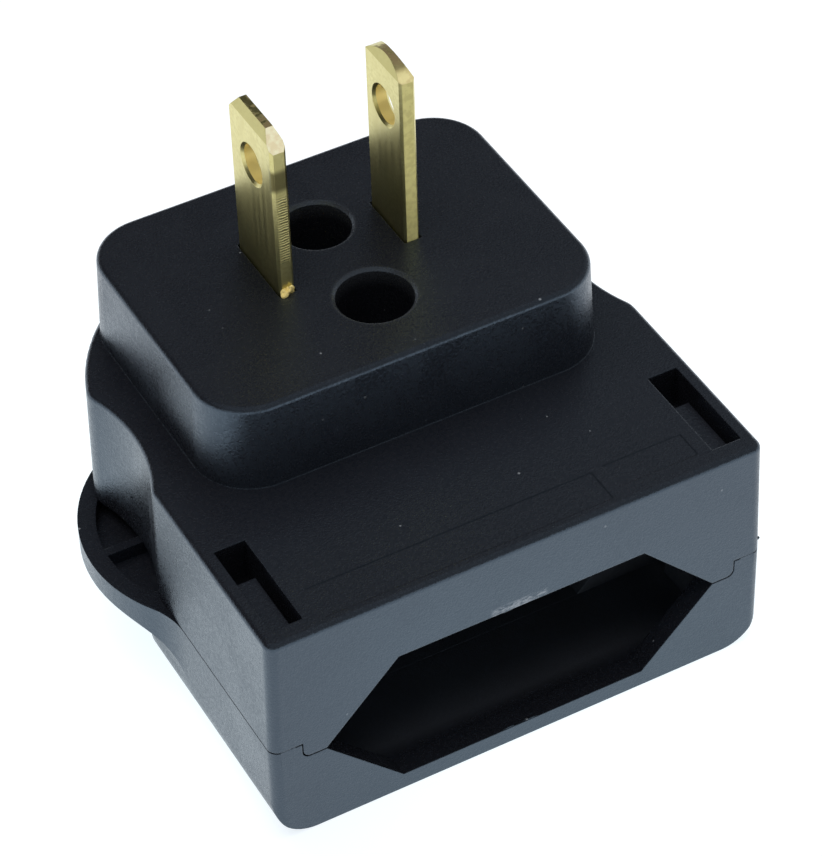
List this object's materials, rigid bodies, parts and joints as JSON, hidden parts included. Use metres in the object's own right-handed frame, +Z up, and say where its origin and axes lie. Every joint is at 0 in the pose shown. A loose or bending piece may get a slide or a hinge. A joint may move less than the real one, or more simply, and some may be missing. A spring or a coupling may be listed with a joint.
{
  "type": "travel adapter",
  "caption": "Black moulded plug adapter with flat brass blades on a raised boss, a hexagonal front mouth for a flat round-pin plug, and finger ears at the sides.",
  "frame": {"origin": "on the flat bottom of the lid, under the middle of the outline", "axes": "+X to the right along the mouth, +Y from the mouth to the back, +Z up to the blade tips"},
  "size_m": [0.0548, 0.0466, 0.0505],
  "materials": {
    "case": "fine spark-eroded grain, satin",
    "blade_brass": "drawn, brushed lengthwise",
    "contact_brass": "rolled",
    "carrier": "satin",
    "screw_steel": "plated"
  },
  "bodies": {
    "root": {"upper_body": "case", "lid": "case", "wide_blade": "blade_brass", "narrow_blade": "blade_brass", "left_contact": "contact_brass", "right_contact": "contact_brass", "left_rivet": "contact_brass", "right_rivet": "contact_brass", "contact_carrier": "carrier", "carrier_screw": "screw_steel", "locking_screw": "screw_steel", "lid_insert": "contact_brass"}
  },
  "joints": []
}
